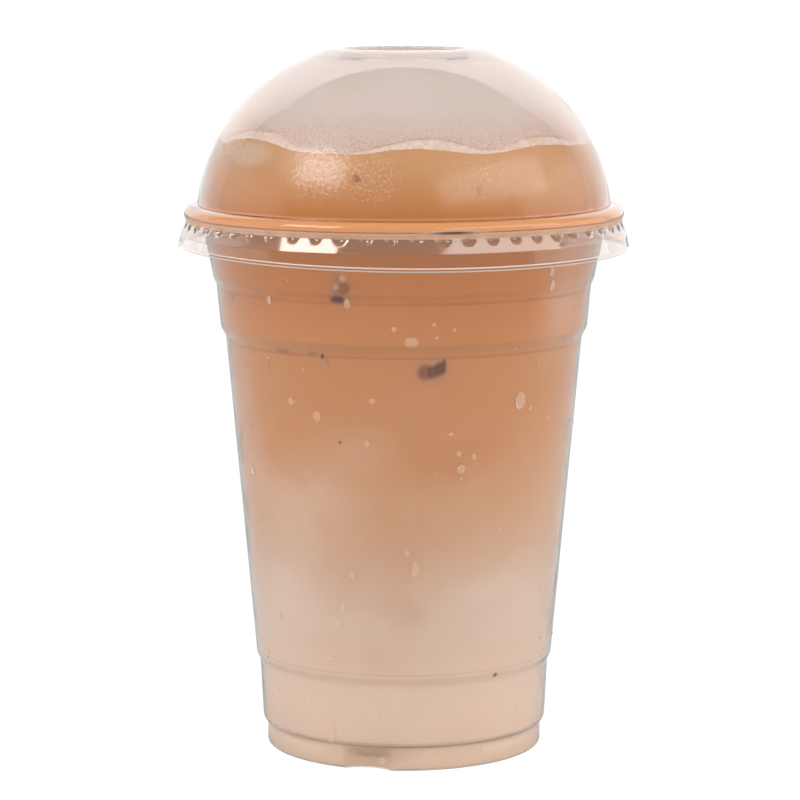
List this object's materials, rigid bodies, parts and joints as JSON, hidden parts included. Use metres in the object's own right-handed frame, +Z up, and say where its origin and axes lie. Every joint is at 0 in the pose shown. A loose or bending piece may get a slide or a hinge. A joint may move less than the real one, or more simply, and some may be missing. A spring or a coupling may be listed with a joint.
{
  "type": "plastic cup with dome lid",
  "caption": "Clear plastic cup of iced milk tea with a tapered stepped wall, rolled rim and fluted foot, under a clear domed lid with a straw hole and a flared press-on skirt.",
  "frame": {"origin": "on the table under the foot, at the axis of the cup", "axes": "+Z up along the axis of the cup, -Y towards the pictured side"},
  "size_m": [0.1038, 0.1038, 0.1603],
  "materials": {
    "clear_cup": "clear thin thermoformed plastic, glossy",
    "clear_lid": "clear thin thermoformed plastic, glossy, fogged inside above the drink",
    "milk_tea": "opaque milky liquid, orange-brown above and pale cream at the foot",
    "froth": "pale fine-bubbled froth",
    "ice": "melted ice cube, wet"
  },
  "bodies": {
    "cup": {"cup": "clear_cup", "tea": "milk_tea", "froth": "froth", "ice_1": "ice", "ice_2": "ice", "ice_3": "ice", "ice_4": "ice", "ice_5": "ice", "ice_6": "ice", "ice_7": "ice", "ice_8": "ice", "ice_9": "ice", "ice_10": "ice"},
    "lid": {"lid": "clear_lid"}
  },
  "joints": [
    {"name": "lid_lift", "type": "slide", "parent": "cup", "child": "lid", "axis": [0, 0, 1], "range_m": [0, 0.06]}
  ]
}
